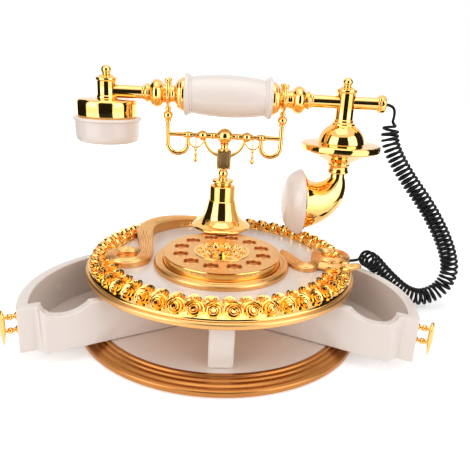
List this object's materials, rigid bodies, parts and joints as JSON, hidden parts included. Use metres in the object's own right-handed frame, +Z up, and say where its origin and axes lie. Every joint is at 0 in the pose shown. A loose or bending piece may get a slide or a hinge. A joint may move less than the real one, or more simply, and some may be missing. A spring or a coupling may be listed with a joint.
{
  "type": "french-style cradle phone",
  "caption": "Round jewellery-box cradle telephone with swing-out drawers, a ring of roses, a push-button dial and a lift-off handset on a hook yoke.",
  "frame": {"origin": "centre of the base on the table", "axes": "+Z up, +X to the right of someone facing the dial, -Y towards them"},
  "size_m": [0.3946, 0.242, 0.2121],
  "materials": {
    "rubber_feet": "matte",
    "ivory_plastic": "gloss ivory",
    "satin_gold": "satin gold metallised",
    "bright_gold": "mirror gold metallised",
    "gold_metal": "polished",
    "steel": "plain",
    "smoky_gem": "faceted",
    "black_cord": "gloss",
    "amber_button": "gloss",
    "board": "matte",
    "dark_plastic": "matte"
  },
  "bodies": {
    "base": {"base_ring": "satin_gold", "bell": "bright_gold", "bell_pedestal": "bright_gold", "cord_socket": "gold_metal", "dial_collar": "satin_gold", "dial_plate": "satin_gold", "floor_plate": "ivory_plastic", "foot_pad_1": "rubber_feet", "foot_pad_2": "rubber_feet", "foot_pad_3": "rubber_feet", "foot_pad_4": "rubber_feet", "front_column": "ivory_plastic", "handset_cord": "black_cord", "hook_switch": "dark_plastic", "inner_disc": "ivory_plastic", "keypad_board": "board", "left_pivot_pin": "steel", "left_scroll": "satin_gold", "line_jack": "dark_plastic", "rear_housing": "ivory_plastic", "right_pivot_pin": "steel", "right_scroll": "satin_gold", "ringer": "dark_plastic", "rose_band": "bright_gold", "top_disc": "satin_gold"},
    "left_drawer": {"left_drawer": "ivory_plastic", "left_pull": "gold_metal"},
    "right_drawer": {"right_drawer": "ivory_plastic", "right_pull": "gold_metal"},
    "yoke": {"yoke_frame": "bright_gold", "gem": "smoky_gem", "left_hook": "gold_metal", "right_hook": "gold_metal", "left_arc": "gold_metal", "right_arc": "gold_metal", "left_pendant": "gold_metal", "right_pendant": "gold_metal"},
    "handset": {"grip": "ivory_plastic", "left_arm": "bright_gold", "right_arm": "bright_gold", "right_end": "bright_gold", "ear_cap": "bright_gold", "ear_cup": "ivory_plastic", "receiver": "dark_plastic", "mouth_stem": "bright_gold", "mouth_horn": "bright_gold", "mouthpiece": "ivory_plastic", "transmitter": "dark_plastic"},
    "button_1": {"button_1": "amber_button"},
    "button_2": {"button_2": "amber_button"},
    "button_3": {"button_3": "amber_button"},
    "button_4": {"button_4": "amber_button"},
    "button_5": {"button_5": "amber_button"},
    "button_6": {"button_6": "amber_button"},
    "button_7": {"button_7": "amber_button"},
    "button_8": {"button_8": "amber_button"},
    "button_9": {"button_9": "amber_button"},
    "button_10": {"button_10": "amber_button"},
    "button_11": {"button_11": "amber_button"},
    "button_12": {"button_12": "amber_button"}
  },
  "joints": [
    {"name": "left_drawer_swing", "type": "hinge", "parent": "base", "child": "left_drawer", "pos_m": [-0.066, 0.018, 0.011], "axis": [0, 0, 1], "range_deg": [0, 62]},
    {"name": "right_drawer_swing", "type": "hinge", "parent": "base", "child": "right_drawer", "pos_m": [0.066, 0.018, 0.011], "axis": [0, 0, -1], "range_deg": [0, 62]},
    {"name": "handset_lift", "type": "slide", "parent": "base", "child": "handset", "axis": [0, 0, 1], "range_m": [0, 0.08], "deforming": ["handset_cord"]},
    {"name": "yoke_rise", "type": "slide", "parent": "base", "child": "yoke", "axis": [0, 0, 1], "range_m": [0, 0.004]},
    {"name": "button_1_press", "type": "slide", "parent": "base", "child": "button_1", "axis": [0, 0, -1], "range_m": [0, 0.0012], "stiffness_N_per_m": 400, "springref_m": -0.0004},
    {"name": "button_2_press", "type": "slide", "parent": "base", "child": "button_2", "axis": [0, 0, -1], "range_m": [0, 0.0012], "stiffness_N_per_m": 400, "springref_m": -0.0004},
    {"name": "button_3_press", "type": "slide", "parent": "base", "child": "button_3", "axis": [0, 0, -1], "range_m": [0, 0.0012], "stiffness_N_per_m": 400, "springref_m": -0.0004},
    {"name": "button_4_press", "type": "slide", "parent": "base", "child": "button_4", "axis": [0, 0, -1], "range_m": [0, 0.0012], "stiffness_N_per_m": 400, "springref_m": -0.0004},
    {"name": "button_5_press", "type": "slide", "parent": "base", "child": "button_5", "axis": [0, 0, -1], "range_m": [0, 0.0012], "stiffness_N_per_m": 400, "springref_m": -0.0004},
    {"name": "button_6_press", "type": "slide", "parent": "base", "child": "button_6", "axis": [0, 0, -1], "range_m": [0, 0.0012], "stiffness_N_per_m": 400, "springref_m": -0.0004},
    {"name": "button_7_press", "type": "slide", "parent": "base", "child": "button_7", "axis": [0, 0, -1], "range_m": [0, 0.0012], "stiffness_N_per_m": 400, "springref_m": -0.0004},
    {"name": "button_8_press", "type": "slide", "parent": "base", "child": "button_8", "axis": [0, 0, -1], "range_m": [0, 0.0012], "stiffness_N_per_m": 400, "springref_m": -0.0004},
    {"name": "button_9_press", "type": "slide", "parent": "base", "child": "button_9", "axis": [0, 0, -1], "range_m": [0, 0.0012], "stiffness_N_per_m": 400, "springref_m": -0.0004},
    {"name": "button_10_press", "type": "slide", "parent": "base", "child": "button_10", "axis": [0, 0, -1], "range_m": [0, 0.0012], "stiffness_N_per_m": 400, "springref_m": -0.0004},
    {"name": "button_11_press", "type": "slide", "parent": "base", "child": "button_11", "axis": [0, 0, -1], "range_m": [0, 0.0012], "stiffness_N_per_m": 400, "springref_m": -0.0004},
    {"name": "button_12_press", "type": "slide", "parent": "base", "child": "button_12", "axis": [0, 0, -1], "range_m": [0, 0.0012], "stiffness_N_per_m": 400, "springref_m": -0.0004}
  ],
  "couplings": [
    {"joint": "yoke_rise", "follows": "handset_lift", "ratio": 0.05}
  ]
}
